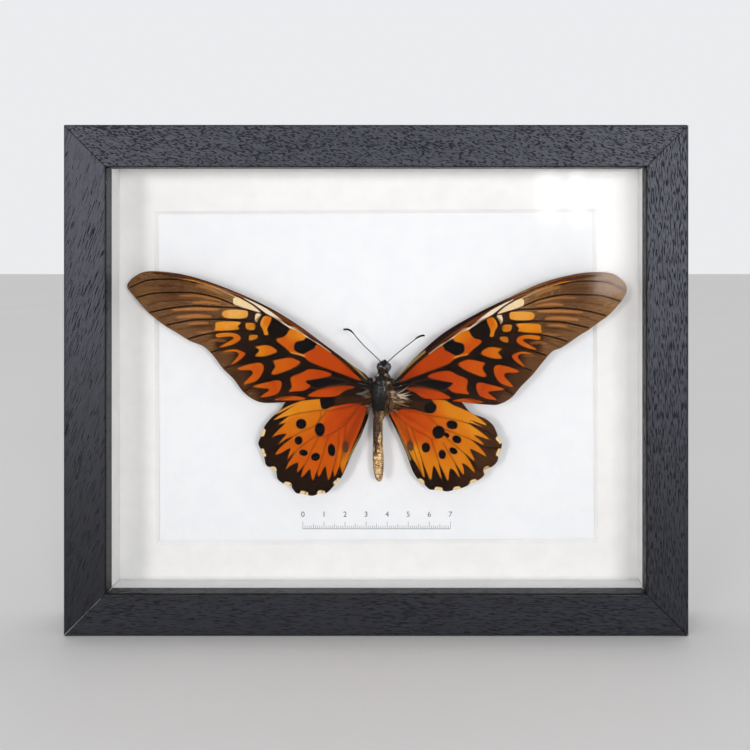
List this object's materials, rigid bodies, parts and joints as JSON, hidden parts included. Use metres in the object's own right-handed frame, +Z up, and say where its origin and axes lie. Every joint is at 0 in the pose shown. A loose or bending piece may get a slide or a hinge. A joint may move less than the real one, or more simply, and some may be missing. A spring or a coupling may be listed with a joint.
{
  "type": "framed butterfly specimen",
  "caption": "Spread swallowtail butterfly pinned in front of a white card behind glass, in a mitred black wooden box frame that stands on its base or hangs on a wall.",
  "frame": {"origin": "middle of the base, at half the frame's depth", "axes": "+Z up, +X to the right seen from the front, -Y out of the glass towards the viewer"},
  "size_m": [0.2794, 0.035, 0.2286],
  "materials": {
    "black_wood": "open-pored wood stained black, satin, with fine darker pores and glints",
    "clear_glass": "clear picture glass, polished",
    "spacer_board": "white spacer strip, matt",
    "mat_board": "white mat board with a lighter bevelled cut",
    "backing_card": "white card over foam board, matt, with a small printed scale",
    "fibreboard": "brown fibreboard with fine flecks",
    "zinc_steel": "thin zinc-plated steel",
    "wing_scales": "powdery scales in red-orange, ochre and cream with black spots, veins and borders",
    "chitin_and_hair": "glossy black thorax, hairy brown and tan abdomen",
    "pin_steel": "fine steel pin"
  },
  "bodies": {
    "root": {"frame_rail_top": "black_wood", "frame_rail_bottom": "black_wood", "frame_rail_left": "black_wood", "frame_rail_right": "black_wood", "glass_pane": "clear_glass", "spacer_top": "spacer_board", "spacer_bottom": "spacer_board", "spacer_left": "spacer_board", "spacer_right": "spacer_board", "window_mat": "mat_board", "backing_card": "backing_card", "back_board": "fibreboard", "steel_tab_1": "zinc_steel", "steel_tab_2": "zinc_steel", "steel_tab_3": "zinc_steel", "steel_tab_4": "zinc_steel", "steel_tab_5": "zinc_steel", "steel_tab_6": "zinc_steel", "steel_tab_7": "zinc_steel", "steel_tab_8": "zinc_steel", "sawtooth_hanger": "zinc_steel", "hanger_rivet_left": "zinc_steel", "hanger_rivet_right": "zinc_steel", "left_forewing": "wing_scales", "right_forewing": "wing_scales", "left_hindwing": "wing_scales", "right_hindwing": "wing_scales", "butterfly_body": "chitin_and_hair", "specimen_pin": "pin_steel"}
  },
  "joints": []
}
